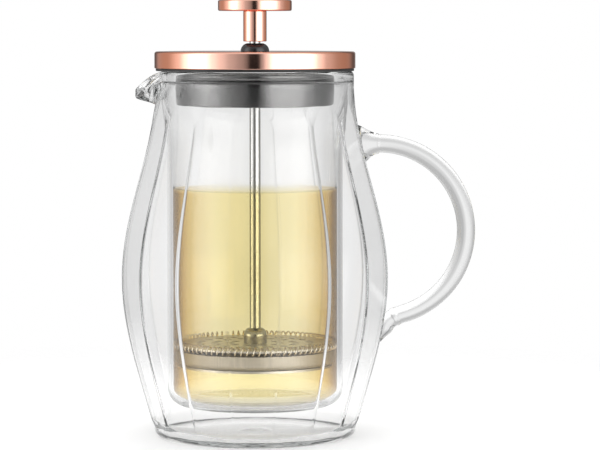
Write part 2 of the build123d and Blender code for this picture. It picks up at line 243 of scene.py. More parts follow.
def tint(tree, share, first, second):
    """Mix two colours, each an (r, g, b) constant or the output of another node."""
    node = tree.nodes.new("ShaderNodeMix")
    node.data_type = "RGBA"
    for name, colour in (("A", first), ("B", second)):
        if isinstance(colour, tuple):
            node.inputs[name].default_value = (*colour, 1)
        else:
            tree.links.new(colour, node.inputs[name])
    tree.links.new(share, node.inputs["Factor"])
    return node.outputs["Result"]


def set_stops(colour_ramp, stops):
    """Fill a colour ramp with (position, colour) stops."""
    elements = colour_ramp.elements
    while len(elements) < len(stops):
        elements.new(0.5)
    for element, (position, _) in zip(elements, stops):
        element.position = position
    for element, (_, colour) in zip(elements, stops):
        element.color = (*colour, 1)


def bump(tree, source, strength, distance):
    """Raise the surface by a pattern."""
    raised = tree.nodes.new("ShaderNodeBump")
    raised.inputs["Strength"].default_value = strength
    raised.inputs["Distance"].default_value = distance
    tree.links.new(source, raised.inputs["Height"])
    return raised.outputs["Normal"]


def math_node(tree, kind, a, b=None):
    """One arithmetic step on constants or the outputs of other nodes."""
    node = tree.nodes.new("ShaderNodeMath")
    node.operation = kind
    for socket, value in zip(node.inputs, (a, b)):
        if value is None:
            continue
        if isinstance(value, (int, float)):
            socket.default_value = value
        else:
            tree.links.new(value, socket)
    return node.outputs[0]


def edge_share(tree, low, high):
    """0 where a surface faces the eye, 1 where it turns away, between two facing values."""
    weight = tree.nodes.new("ShaderNodeLayerWeight")
    weight.inputs["Blend"].default_value = 0.5
    return spread(tree, weight.outputs["Facing"], low, high, kind="SMOOTHSTEP")


def metal(name, dark, light, rough, grain=(60, 60, 60), scratch=0.05, edge=None):
    """Polished metal: a slight change of colour, smudged gloss and fine polishing marks.

    A plated metal may take painted shade, a deeper and darker colour, where it turns away from the eye.
    """
    made, tree, shader = material(name)
    shader.inputs["Metallic"].default_value = 1.0
    smudges = noise(tree, 38, 4)
    colour = tint(tree, ramp(tree, smudges, 0, 1), dark, light)
    if edge:
        # painted shade: the colour is mixed towards a deeper, darker one where the surface turns away from
        # the eye
        colour = tint(tree, edge_share(tree, 0.15, 0.6), colour, edge)
    tree.links.new(colour, shader.inputs["Base Color"])
    tree.links.new(ramp(tree, noise(tree, 95, 5), rough[0], rough[1]), shader.inputs["Roughness"])
    marks = noise(tree, 40, 6, grain)
    tree.links.new(bump(tree, marks, scratch, 0.00002), shader.inputs["Normal"])
    return made


def woven_screen():
    """Fine woven wire: crossing rows of wires, raised, with painted shade that darkens the gaps between them
    and the warm tint of light through the tea painted in.
    """
    made, tree, shader = material("screen_wire")
    shader.inputs["Metallic"].default_value = 1.0
    coords = tree.nodes.new("ShaderNodeTexCoord")
    rows = []
    for direction in ("X", "Y", "Z"):
        wave = tree.nodes.new("ShaderNodeTexWave")
        wave.bands_direction = direction
        wave.inputs["Scale"].default_value = 520
        wave.inputs["Distortion"].default_value = 0.4
        tree.links.new(coords.outputs["Object"], wave.inputs["Vector"])
        rows.append(wave.outputs["Fac"])
    weave_with_gap_shade = math_node(tree, "MAXIMUM", math_node(tree, "MAXIMUM", rows[0], rows[1]), rows[2])
    # painted shade: the gaps between the wires are darker, and both colours carry the painted warm tint of
    # light in the tea
    tree.links.new(tint(tree, weave_with_gap_shade, (0.30, 0.265, 0.205), (0.54, 0.485, 0.385)), shader.inputs["Base Color"])
    tree.links.new(ramp(tree, noise(tree, 60, 4), 0.46, 0.58), shader.inputs["Roughness"])
    tree.links.new(bump(tree, weave_with_gap_shade, 0.25, 0.00008), shader.inputs["Normal"])
    return made


def plastic(name, dark, light, rough, grain):
    """Moulded plastic or silicone with a fine skin."""
    made, tree, shader = material(name)
    shader.inputs["IOR"].default_value = 1.5
    tree.links.new(tint(tree, ramp(tree, noise(tree, 160, 4), 0, 1), dark, light),
                   shader.inputs["Base Color"])
    tree.links.new(ramp(tree, noise(tree, 300, 3), rough[0], rough[1]), shader.inputs["Roughness"])
    tree.links.new(bump(tree, noise(tree, 1800, 2), grain, 0.00003), shader.inputs["Normal"])
    return made


def clear_glass():
    """Borosilicate glass: clear, with the faint waves of blown glass and a trace of green in depth."""
    made, tree, shader = material("clear_glass")
    shader.inputs["Base Color"].default_value = (1, 1, 1, 1)
    shader.inputs["Roughness"].default_value = 0.0
    shader.inputs["IOR"].default_value = 1.47
    shader.inputs["Specular Tint"].default_value = (0.45, 0.45, 0.45, 1)
    shader.inputs["Transmission Weight"].default_value = 1.0
    tree.links.new(bump(tree, noise(tree, 42, 1.5, (1, 1, 0.35)), 0.05, 0.0004), shader.inputs["Normal"])
    depth = tree.nodes.new("ShaderNodeVolumeAbsorption")
    depth.inputs["Color"].default_value = (0.85, 0.88, 0.87, 1)
    depth.inputs["Density"].default_value = 9.0
    tree.links.new(depth.outputs["Volume"], tree.nodes["Material Output"].inputs["Volume"])
    return made


def tea_material():
    """Clear golden tea, with painted shade, a darker amber, where its side turns away from the eye.

    Its index is close to air's, since it stands just clear of the glass that would hold it.
    """
    made, tree, shader = material("tea")
    shader.inputs["Roughness"].default_value = 0.0
    shader.inputs["IOR"].default_value = 1.01
    shader.inputs["Transmission Weight"].default_value = 1.0
    coords = tree.nodes.new("ShaderNodeTexCoord")
    split = tree.nodes.new("ShaderNodeSeparateXYZ")
    tree.links.new(coords.outputs["Normal"], split.inputs[0])
    upright = math_node(tree, "SUBTRACT", 1.0, math_node(tree, "ABSOLUTE", split.outputs["Z"]))
    weight = tree.nodes.new("ShaderNodeLayerWeight")
    weight.inputs["Blend"].default_value = 0.5
    # painted shade: the colour runs from clear to dark amber and brown where the tea's side turns away from
    # the eye
    painted_side_shade = tree.nodes.new("ShaderNodeValToRGB")
    tree.links.new(math_node(tree, "MULTIPLY", weight.outputs["Facing"], upright), painted_side_shade.inputs["Fac"])
    set_stops(painted_side_shade.color_ramp, [(0.12, (1.0, 1.0, 1.0)), (0.40, (0.84, 0.68, 0.38)),
                                 (0.52, (0.73, 0.53, 0.26)), (0.66, (0.44, 0.30, 0.15)),
                                 (1.0, (0.34, 0.22, 0.11))])
    tree.links.new(painted_side_shade.outputs["Color"], shader.inputs["Base Color"])
    depth = tree.nodes.new("ShaderNodeVolumeAbsorption")
    depth.inputs["Color"].default_value = (0.93, 0.79, 0.10, 1)
    depth.inputs["Density"].default_value = 14.0
    tree.links.new(depth.outputs["Volume"], tree.nodes["Material Output"].inputs["Volume"])
    return made


GLASS = clear_glass()
TEA = tea_material()
# the rose plate's edge colour is painted shade, a darker orange where the cap and knob turn away from the eye
ROSE = metal("rose_gold_plate", (0.92, 0.51, 0.40), (0.96, 0.57, 0.46), (0.09, 0.15), (8, 8, 8), 0.03,
             edge=(0.84, 0.31, 0.17))
STEEL = metal("polished_steel", (0.44, 0.435, 0.42), (0.50, 0.495, 0.48), (0.10, 0.16), (3, 3, 60), 0.06)
# painted shade: the skirt's steel is a darker copy of the polished steel
SHADED_SKIRT_STEEL = metal("skirt_steel_painted_shade", (0.14, 0.139, 0.137), (0.17, 0.168, 0.166), (0.10, 0.15), (3, 3, 60), 0.06)
# painted light: the steel of the filter is painted warmer and lighter than the rest, with the tint of light
# seen through the tea it stands in
TEA_TINTED_STEEL = metal("filter_steel", (0.50, 0.46, 0.38), (0.62, 0.57, 0.48), (0.26, 0.36), (8, 8, 8), 0.05)
# painted light: the coil's steel is painted with the warm tint of light seen through the tea
TEA_TINTED_COIL = metal("coil_wire", (0.74, 0.68, 0.54), (0.84, 0.78, 0.64), (0.16, 0.24), (8, 8, 8), 0.05)
WIRE = woven_screen()
BRASS = metal("insert_brass", (0.66, 0.49, 0.22), (0.76, 0.60, 0.32), (0.2, 0.3), (10, 10, 60), 0.1)
BLACK = plastic("black_plastic", (0.010, 0.010, 0.011), (0.018, 0.018, 0.019), (0.10, 0.18), 0.05)
SILICONE = plastic("black_silicone", (0.004, 0.004, 0.004), (0.010, 0.010, 0.010), (0.5, 0.6), 0.2)
CORE = plastic("core_plastic", (0.03, 0.03, 0.03), (0.05, 0.05, 0.05), (0.5, 0.65), 0.25)


def dress(obj, mat, body, slot, *nodes):
    """Give a piece its material and body, and hide the CAD nodes that it stands for; the slot is not used."""
    obj.data.materials.clear()
    obj.data.materials.append(mat)
    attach(obj, body)
    if nodes:
        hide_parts(*nodes)
    return obj


# ---------------------------------------------------------------- glass carafe
FACETS = 16
HALF_FACET = math.pi / FACETS
FLAT_STEPS = 4
ROUND_STEPS = 7
AROUND = FACETS * 2 * (FLAT_STEPS + ROUND_STEPS)
RIDGE_R = 1.6 * MM             # rounding of the outer ridges
CAVITY_RIDGE_R = 4.0 * MM      # the inside of the outer wall is softer
WALL = 2.2 * MM
VESSEL_WALL = 2.0 * MM
FACET_LOW = 9 * MM             # the facets fade into the round foot over FOOT_FADE
FOOT_FADE = 7 * MM
FACET_HIGH = 140 * MM          # and into the round neck above this
FOOT_FLAT = 42.0 * MM          # outer radius of the flat that the carafe stands on
FOOT_ROUND = 4.0 * MM          # rounding of the foot
THIN_WALL = 1.3 * MM           # the outer wall near the neck
THIN_FROM = 138 * MM

side = cubic([(46.2 * MM, 6 * MM), (48.0 * MM, 12 * MM), (55.5 * MM, 39.4 * MM),
              (BELLY_R, 73.5 * MM), (56.9 * MM, 98.5 * MM), (49.9 * MM, 126 * MM),
              (45.7 * MM, 147 * MM), (RIM_R, NECK_Z)])


def facet_fade(z):
    """1 where the barrel is round, 0 where its facets are full."""
    return max(smooth((z - FACET_HIGH) / (NECK_Z - FACET_HIGH)), smooth((FACET_LOW - z) / FOOT_FADE))


def ridge_radius(apothem, z, sharp):
    """Radius that rounds the ridges; the whole apothem where the barrel is round."""
    fade = facet_fade(z)
    return sharp + (apothem - sharp) * fade


def facet_angles(flat_end):
    """Angles across half a facet: a few on the flat, more on the rounded ridge."""
    edge = max(flat_end, 0.3 * HALF_FACET)
    flat = [edge * k / FLAT_STEPS for k in range(FLAT_STEPS)]
    return flat + [edge + (HALF_FACET - edge) * k / ROUND_STEPS for k in range(ROUND_STEPS + 1)]


def facet_ring(apothem, ridge):
    """(angle, radius) round the barrel, for flats of one apothem and ridges rounded by ridge."""
    flat_end = math.atan((apothem - ridge) * math.tan(HALF_FACET) / apothem)
    centre = (apothem - ridge) / math.cos(HALF_FACET)
    half = []
    for a in facet_angles(flat_end):
        if a <= flat_end:
            r = apothem / math.cos(a)
        else:
            d = HALF_FACET - a
            r = centre * math.cos(d) + math.sqrt(ridge ** 2 - (centre * math.sin(d)) ** 2)
        half.append((a, r))
    ring = []
    for k in range(FACETS):
        middle = k * 2 * HALF_FACET
        ring += [(middle - a, r) for a, r in reversed(half[1:])]
        ring += [(middle + a, r) for a, r in half[:-1]]
    return ring


# the spout: the rim's edge is drawn out and down over a narrow sector
SPOUT_LOW = 147 * MM
SPOUT_DROP = 7.6 * MM
SPOUT_HALF = math.radians(25)
SPOUT_OUT = SPOUT_TIP - RIM_R
# where each surface is drawn out, as (begins, ends) shares of the neck's height
OUTSIDE_DRAWN = (0.30, 0.62)
INSIDE_DRAWN = (0.76, 0.98)
CAVITY_DRAWN = (0.55, 1.05)


def spout_share(angle):
    """How far a direction takes part in the spout, 1 at its middle."""
    off = abs(angle % TAU - math.pi)
    return (0.5 + 0.5 * math.cos(math.pi * off / SPOUT_HALF)) ** 1.1 if off < SPOUT_HALF else 0.0


def spout_move(angle, r, z, begins, ends):
    """Where a rim point goes: down by its height in the neck, and out between begins and ends."""
    share = spout_share(angle)
    rise = (z - SPOUT_LOW) / (RIM_Z - SPOUT_LOW)
    if share <= 0 or rise <= 0:
        return r, z
    out = smooth((rise - begins) / (ends - begins))
    return r + SPOUT_OUT * out * share, z - SPOUT_DROP * rise * share ** 1.6


def place(angle, r, z):
    """A point given by its direction, radius and height."""
    return (r * math.cos(angle), r * math.sin(angle), z)


def ring_of(stations, begins, ends):
    """Vertices of rings at (apothem, height, ridge radius) stations, with the spout drawn out."""
    verts = []
    for apothem, z, ridge in stations:
        for angle, r in facet_ring(apothem, ridge):
            verts.append(place(angle, *spout_move(angle, r, z, begins, ends)))
    return verts


def capped(*parts):
    """A closed surface from one pole to the other, through parts of (stations, (begins, ends))."""
    stations = [station for part, _ in parts for station in part]
    verts = [vert for part, drawn in parts for vert in ring_of(part, *drawn)]
    faces = ring_faces(len(stations), AROUND, False)
    first = len(verts)
    verts.append((0, 0, stations[0][1]))
    verts.append((0, 0, stations[-1][1]))
    last = (len(stations) - 1) * AROUND
    faces += [(first, (j + 1) % AROUND, j) for j in range(AROUND)]
    faces += [(first + 1, last + j, last + (j + 1) % AROUND) for j in range(AROUND)]
    return verts, faces


VESSEL_R = 39.2 * MM
VESSEL_IN = VESSEL_R - VESSEL_WALL
FLARE_Z = 128 * MM
FLARE_TOP = 165 * MM
FLARE_IN = 41.2 * MM           # inside radius at the top of the flare
FLARE_WALL = 1.2 * MM          # and the wall there
CAVITY_TOP = 161.6 * MM        # the walls join just under the rim
VESSEL_LOW = vessel_low.z
VESSEL_CORNER = 7.5 * MM       # outside rounding of the vessel's floor
BORE_CORNER = 5.5 * MM         # and inside
FLOOR_T = 2.4 * MM
LIP_H = 2.1 * MM               # height of the rim's rounding
PIP_R = 8.5 * MM               # the seal in the outer floor
PIP_H = 0.7 * MM
CAVITY_ROUND = 1 * MM          # the top of the cavity


def flare(z, inside):
    """Radius of the inner wall, which flares out towards the rim."""
    base = VESSEL_IN if inside else VESSEL_R
    top = FLARE_IN if inside else FLARE_IN + FLARE_WALL
    return base + (top - base) * smooth((z - FLARE_Z) / (FLARE_TOP - FLARE_Z)) ** 1.1


def wall_at(z):
    """Thickness of the outer wall, which is drawn thinner towards the neck."""
    return WALL - (WALL - THIN_WALL) * smooth((z - THIN_FROM) / (NECK_Z - THIN_FROM))


def outer_stations():
    """Table side, barrel, rim and then down the inside of the vessel to its floor.

    Given in two parts, which meet on the inner half of the rim.
    """
    made = [(r, 0.0, r) for r in (12 * MM, 30 * MM, FOOT_FLAT - 0.4 * MM, FOOT_FLAT)]
    made += [(r, z, r) for r, z in arc(FOOT_FLAT + 0.2 * MM, FOOT_ROUND, FOOT_ROUND, -85, -24, 7)]
    for z in steps(5.0 * MM, SPOUT_LOW, 80) + steps(SPOUT_LOW + 0.6 * MM, NECK_Z, 18):
        apothem = side(z)
        made.append((apothem, z, ridge_radius(apothem, z, RIDGE_R)))
    lip = RIM_Z - LIP_H
    made += [(RIM_R, z, RIM_R) for z in steps(NECK_Z + 1.5 * MM, lip, 4)]
    middle = (RIM_R + FLARE_IN) / 2
    half = (RIM_R - FLARE_IN) / 2
    for a in steps(0, 180, 14)[1:]:
        r = middle + half * math.cos(math.radians(a))
        made.append((r, lip + LIP_H * math.sin(math.radians(a)), r))
    turn = len(made) - 7
    for z in steps(lip - 1.0 * MM, FLARE_Z, 22):
        made.append((flare(z, True), z, flare(z, True)))
    floor = VESSEL_LOW + FLOOR_T
    for z in steps(FLARE_Z - 6 * MM, floor + 8 * MM, 6):
        made.append((VESSEL_IN, z, VESSEL_IN))
    made += [(r, z, r) for r, z in
             arc(VESSEL_IN - BORE_CORNER, floor + BORE_CORNER, BORE_CORNER, 0, -90, 9)]
    made += [(r, floor, r) for r in (30.5 * MM, 24 * MM, 12 * MM)]
    return made[:turn], made[turn:]


def cavity_stations():
    """The sealed space between the walls, from its floor up the outer wall and down the vessel."""
    floor = FLOOR_T
    made = [(r, floor + PIP_H * smooth((8.0 * MM - r) / (7.0 * MM)), r) for r in steps(1.0 * MM, PIP_R, 10)]
    made += [(r, floor, r) for r in (12 * MM, 26 * MM, 37.2 * MM)]
    made += [(r, z, r) for r, z in arc(38.6 * MM, floor + 5 * MM, 5 * MM, -88, -30, 6)]
    top = CAVITY_TOP - CAVITY_ROUND
    for z in steps(7.0 * MM, top, 84):
        apothem = (side(z) if z < NECK_Z else RIM_R) - wall_at(z)
        made.append((apothem, z, ridge_radius(apothem, z, CAVITY_RIDGE_R)))
    outer_r = made[-1][0]
    inner_r = flare(top, False)
    middle = (outer_r + inner_r) / 2
    half = (outer_r - inner_r) / 2
    for a in steps(0, 180, 8)[1:-1]:
        r = middle + half * math.cos(math.radians(a))
        made.append((r, top + CAVITY_ROUND * math.sin(math.radians(a)), r))
    for z in steps(top, FLARE_Z, 20):
        made.append((flare(z, False), z, flare(z, False)))
    for z in steps(FLARE_Z - 6 * MM, VESSEL_LOW + VESSEL_CORNER + 2 * MM, 6):
        made.append((VESSEL_R, z, VESSEL_R))
    made += [(r, z, r) for r, z in
             arc(VESSEL_R - VESSEL_CORNER, VESSEL_LOW + VESSEL_CORNER, VESSEL_CORNER, 0, -90, 10)]
    made += [(r, VESSEL_LOW, r) for r in (30 * MM, 20 * MM, 8 * MM)]
    return made


LOOP_R = 39.6 * MM
ROD_R = 4.1 * MM
LOOP_END = -74                 # degrees round the loop where the rod leaves it for the lower root
ROOT_SWELL = 4.4 * MM          # how far the upper root swells, and over what length
SEAM = 0.35 * MM               # the ridges left where the rod was fused on
FOOT_Z = 50 * MM               # lower root, and the end of its tail
TAIL_Z = 43.5 * MM
loop_centre = Vector((handle_high.x - LOOP_R - ROD_R, 0, 93.5 * MM))


def handle_path():
    """(point, depth, height, shear) down the handle: the roots are fused, tall and shallow."""
    top = loop_centre.z + LOOP_R
    wall = side(top)
    lean = (side(top + MM) - side(top - MM)) / (2 * MM)
    path = []
    for x in steps(wall - 0.9 * MM, loop_centre.x, 30)[:-1]:
        d = max(0.0, x - wall)
        swell = ROOT_SWELL * math.exp(-(d / ROOT_SWELL) ** 1.5)
        seam = SEAM * math.exp(-((d - 8.6 * MM) / (0.8 * MM)) ** 2)
        path.append((Vector((x, 0, top)), ROD_R + 0.12 * swell + seam, ROD_R + swell + seam,
                     lean * math.exp(-d / (5 * MM))))
    for a in steps(90, LOOP_END, 150):
        turn = math.radians(a)
        path.append((loop_centre + LOOP_R * Vector((math.cos(turn), 0, math.sin(turn))),
                     ROD_R, ROD_R, 0.0))
    tip = path[-1][0]
    lead = (tip - path[-2][0]).normalized()
    foot = Vector((side(FOOT_Z) + 1.7 * MM, 0, FOOT_Z))
    tail = Vector((side(TAIL_Z) - 0.4 * MM, 0, TAIL_Z))
    knee = tip + lead * 7.0 * MM
    for t in steps(0, 1, 26)[1:]:
        point = tip * (1 - t) ** 2 + knee * 2 * t * (1 - t) + foot * t * t
        seam = SEAM * math.exp(-((t - 0.30) / 0.07) ** 2)
        path.append((point, ROD_R + seam, ROD_R + seam - 0.3 * MM * t, 0.0))
    for t in steps(0, 1, 12)[1:]:
        share = smooth(t)
        path.append((foot.lerp(tail, t), ROD_R - 1.6 * MM * share, 3.8 * MM - 2.2 * MM * share, 0.0))
    return path


def handle_mesh():
    """The bent glass rod, swelling into a fused root at each wall."""
    sides = 48
    path = handle_path()
    verts = []
    for i, (point, deep, tall, shear) in enumerate(path):
        ahead = path[min(i + 1, len(path) - 1)][0] - path[max(i - 1, 0)][0]
        ahead.normalize()
        across = Vector((0, 1, 0))
        up = ahead.cross(across).normalized()
        for j in range(sides):
            a = TAU * j / sides
            spot = point + across * (deep * math.cos(a)) + up * (tall * math.sin(a))
            spot.x += shear * (spot.z - point.z)
            verts.append(spot)
    faces = ring_faces(len(path), sides, False)
    faces.append(tuple(range(sides))[::-1])
    last = (len(path) - 1) * sides
    faces.append(tuple(last + j for j in range(sides)))
    mesh = bpy.data.meshes.new("handle_rod")
    mesh.from_pydata(verts, [], faces)
    obj = new_object("handle_rod", mesh)
    face_outwards(obj)
    return obj


def make_carafe():
    """Both walls, rim and spout as one sealed glass body, with the handle fused on."""
    outside, inside = outer_stations()
    verts, faces = capped((outside, OUTSIDE_DRAWN), (inside, INSIDE_DRAWN))
    cavity, cavity_faces = capped((cavity_stations(), CAVITY_DRAWN))
    shift = len(verts)
    verts += cavity
    faces += [tuple(shift + i for i in reversed(face)) for face in cavity_faces]
    mesh = bpy.data.meshes.new("carafe_glass")
    mesh.from_pydata(verts, [], faces)
    glass = new_object("carafe_glass", mesh)
    rod = handle_mesh()
    join = glass.modifiers.new("fuse", "BOOLEAN")
    join.operation = "UNION"
    join.solver = "EXACT"
    join.object = rod
    bpy.context.view_layer.update()
    fused = bpy.data.meshes.new_from_object(glass.evaluated_get(bpy.context.evaluated_depsgraph_get()))
    glass.modifiers.clear()
    glass.data = fused
    for face in fused.polygons:
        face.use_smooth = True
    bpy.data.objects.remove(rod)
    glass.visible_shadow = False
    return dress(glass, GLASS, "carafe", "clear_glass", "outer_shell", "inner_vessel", "pouring_rim",
                 "pouring_spout", "glass_handle", "sealing_pip")


TEA_LEVEL = 112.3 * MM
TEA_GAP = 0.65 * MM
MENISCUS = 0.9 * MM            # how far the surface climbs at the wall


def make_tea():
    """The drink, up to a level with a small meniscus, just clear of the glass all round."""
    low = VESSEL_LOW + FLOOR_T + TEA_GAP
    wall = VESSEL_IN - TEA_GAP
    corner = BORE_CORNER - TEA_GAP
    profile = [(0, low), (12 * MM, low), (26 * MM, low)]
    profile += arc(wall - corner, low + corner, corner, -90, 0, 9)
    profile += [(wall, z) for z in steps(low + 8 * MM, TEA_LEVEL - 1.0 * MM, 4)]
    for d in (0.0, 0.2, 0.5, 0.9, 1.4, 2.0, 2.8, 4.0, 6.0):
        profile.append((wall - d * MM, TEA_LEVEL + MENISCUS * math.exp(-d / 1.1)))
    profile += [(r, TEA_LEVEL) for r in (22 * MM, 10 * MM, 0)]
    tea = lathe("tea", profile, segments=192)
    face_outwards(tea)
    tea.visible_shadow = False
    return dress(tea, TEA, "carafe", "tea")


# ---------------------------------------------------------------- lid and plunger
CAP_T = 0.8 * MM
SKIRT_R = 36.0 * MM
SKIRT_T = 0.6 * MM
BEAD_Z = 162.2 * MM            # groove pressed round the skirt
BEAD_H = 0.8 * MM
GASKET_IN = 36.3 * MM
SLEEVE_R = 4.6 * MM            # bushing
SHAFT_R = shaft_high.x
STUD_R = 1.9 * MM              # thinner threaded end of the shaft
SHOULDER_Z = hub_high.z - 4.0 * MM
HUB_DOME = 3.4 * MM
KNOB_WALL = 1.6 * MM
KNOB_TOP = 1.2 * MM
TUBE_WALL = 1.4 * MM           # stem
SPIGOT = 1.0 * MM
COIL_R = 34.9 * MM             # centre circle of the coil
COIL_TUBE = 1.8 * MM
COIL_WIRE = 0.40 * MM
COIL_TURNS = 84


def make_cap():
    """The lid's cap as drawn metal with soft edges."""
    r = cap_high.x
    under = cap_high.z - CAP_T
    edge = [(0.6 * r, cap_high.z), (r, cap_high.z), (r, cap_low.z), (r - CAP_T, cap_low.z),
            (r - CAP_T, under)]
    profile = [(0, cap_high.z)] + rounded(edge, 1.1 * MM) + [(0, under)]
    lid_cap = lathe("lid_cap_shell", profile, segments=256)
    face_outwards(lid_cap)
    dress(lid_cap, ROSE, "lid", "rose_gold_plate", "lid_cap")


def make_gasket():
    """The silicone seal under the cap."""
    low, high = gasket_low, gasket_high
    profile = rounded([(GASKET_IN, low.z), (high.x, low.z), (high.x, high.z), (GASKET_IN, high.z)],
                      0.3 * MM, closed=True)
    seal = lathe("lid_seal", profile, closed=True, segments=256)
    face_outwards(seal)
    dress(seal, SILICONE, "lid_seat", "black_silicone", "lid_gasket")


def make_coil():
    """The coil round the filter's edge as real wire, its loops a little taller than wide."""
    per_turn = 20
    sides = 6
    tube = COIL_TUBE - COIL_WIRE
    tall = 1.25 * tube
    centre_z = (coil_low.z + coil_high.z) / 2 + 0.3 * MM
    count = COIL_TURNS * per_turn
    line = []
    for i in range(count):
        a = TAU * i / count
        b = TAU * i / per_turn
        r = COIL_R + tube * math.cos(b)
        line.append(Vector((r * math.cos(a), r * math.sin(a), centre_z + tall * math.sin(b))))
    verts = []
    for i, point in enumerate(line):
        ahead = (line[(i + 1) % count] - line[i - 1]).normalized()
        a = TAU * i / count
        centre = Vector((COIL_R * math.cos(a), COIL_R * math.sin(a), centre_z))
        out = point - centre
        out = (out - ahead * out.dot(ahead)).normalized()
        across = ahead.cross(out)
        for j in range(sides):
            c = TAU * j / sides
            verts.append(point + out * (COIL_WIRE * math.cos(c)) + across * (COIL_WIRE * math.sin(c)))
    mesh = bpy.data.meshes.new("filter_coil")
    mesh.from_pydata(verts, [], ring_faces(count, sides, True))
    coil = new_object("filter_coil", mesh)
    face_outwards(coil)
    dress(coil, TEA_TINTED_COIL, "plunger", "polished_steel", "coil_spring")


def turned(name, points, radius, mat, body, slot, node, segments=192):
    """A closed lathe piece with softened corners that stands for one CAD node."""
    piece = lathe(name, rounded(points, radius, closed=True), closed=True, segments=segments)
    face_outwards(piece)
    return dress(piece, mat, body, slot, node)


def make_skirt():
    """The lid's steel skirt, a drawn cup with a flange on top and a bead pressed round it."""
    bore = SLEEVE_R + 0.05 * MM
    top = skirt_high.z
    inside = SKIRT_R - SKIRT_T
    turned("skirt_drawn", [(bore, top - SKIRT_T), (inside, top - SKIRT_T),
                           (inside, BEAD_Z + BEAD_H), (inside - 0.3 * MM, BEAD_Z),
                           (inside, BEAD_Z - BEAD_H), (inside, skirt_low.z),
                           (SKIRT_R, skirt_low.z), (SKIRT_R, BEAD_Z - BEAD_H),
                           (SKIRT_R - 0.35 * MM, BEAD_Z), (SKIRT_R, BEAD_Z + BEAD_H),
                           (SKIRT_R, top - SKIRT_T), (skirt_high.x, top - SKIRT_T), (skirt_high.x, top),
                           (bore, top)],
           0.25 * MM, SHADED_SKIRT_STEEL, "lid", "polished_steel", "lid_skirt", 256)


def make_bushing():
    """The black domed guide of the shaft, with its sleeve through the lid."""
    inner = SHAFT_R + 0.05 * MM
    mouth = inner + 0.6 * MM
    seat = cap_high.z
    dome = bush_high.x
    guide = [(inner, bush_low.z), (SLEEVE_R, bush_low.z), (SLEEVE_R, seat), (dome, seat)]
    guide += [(mouth + (dome - mouth) * math.cos(math.radians(a)),
               seat + (bush_high.z - seat) * math.sin(math.radians(a))) for a in steps(0, 90, 14)[1:]]
    guide.append((inner, bush_high.z))
    turned("bushing_dome", guide, 0.12 * MM, BLACK, "bushing", "black_plastic", "rod_bushing", 128)


def make_shaft():
    """The plunger's shaft, with its thinner threaded end below the shoulder."""
    turned("shaft_rod", [(0.2 * MM, shaft_low.z), (STUD_R, shaft_low.z), (STUD_R, SHOULDER_Z),
                         (SHAFT_R, SHOULDER_Z), (SHAFT_R, shaft_high.z), (0.2 * MM, shaft_high.z)],
           0.3 * MM, STEEL, "plunger", "polished_steel", "plunger_shaft", 96)


def make_knob():
    """The plated knob, an open cup, and the stem that carries it."""
    lip = disc_high.x - KNOB_WALL
    under = disc_high.z - KNOB_TOP
    turned("knob_cup", [(0.05 * MM, under), (lip, under), (lip, disc_low.z), (disc_high.x, disc_low.z),
                        (disc_high.x, disc_high.z), (0.05 * MM, disc_high.z)],
           0.7 * MM, ROSE, "plunger", "rose_gold_plate", "knob_disc", 192)
    tube = stem_high.x - TUBE_WALL
    spigot = stem_high.x - SPIGOT
    turned("stem_tube", [(tube, stem_low.z), (stem_high.x, stem_low.z), (stem_high.x, disc_low.z),
                         (spigot, disc_low.z), (spigot, stem_high.z), (tube, stem_high.z)],
           0.35 * MM, ROSE, "plunger", "rose_gold_plate", "knob_stem", 128)


def make_hub():
    """The domed nut that clamps the filter against the shaft's shoulder."""
    foot = hub_low.z
    curve = hub_high.z - HUB_DOME
    nut = [(STUD_R, foot), (hub_high.x, foot), (hub_high.x, curve)]
    nut += [(SHAFT_R + (hub_high.x - SHAFT_R) * math.cos(math.radians(a)),
             curve + HUB_DOME * math.sin(math.radians(a))) for a in steps(0, 90, 12)[1:]]
    nut += [(SHAFT_R, SHOULDER_Z), (STUD_R, SHOULDER_Z)]
    turned("hub_dome", nut, 0.12 * MM, STEEL, "plunger", "polished_steel", "hub_nut", 128)


FILTER_PARTS = ("spring_plate", "cross_plate", "filter_washer", "hub_spacer", "lock_nut")


def dress_cad():
    """Materials for the CAD nodes that are shown as they are."""
    looks = {"rose_gold_plate": ROSE, "polished_steel": STEEL, "woven_screen": WIRE, "insert_brass": BRASS,
             "black_plastic": BLACK, "black_silicone": SILICONE, "core_plastic": CORE, "clear_glass": GLASS}
    slots = {row["node"]: row["material_slot"] for row in frame["record"]["subparts"]}
    for name, node in frame["nodes"].items():
        look = TEA_TINTED_STEEL if name in FILTER_PARTS else looks[slots[name]]
        for held in node.material_slots:
            held.link = "OBJECT"
            held.material = look
        if not node.material_slots:
            node.data.materials.append(look)


# ---------------------------------------------------------------- studio
FLOOR_R = 0.6
FLOOR_FADE = (0.10, 0.38)      # radii between which the floor fades away
FLOOR_DROP = 0.2 * MM          # just under the press, so that the two never share a plane


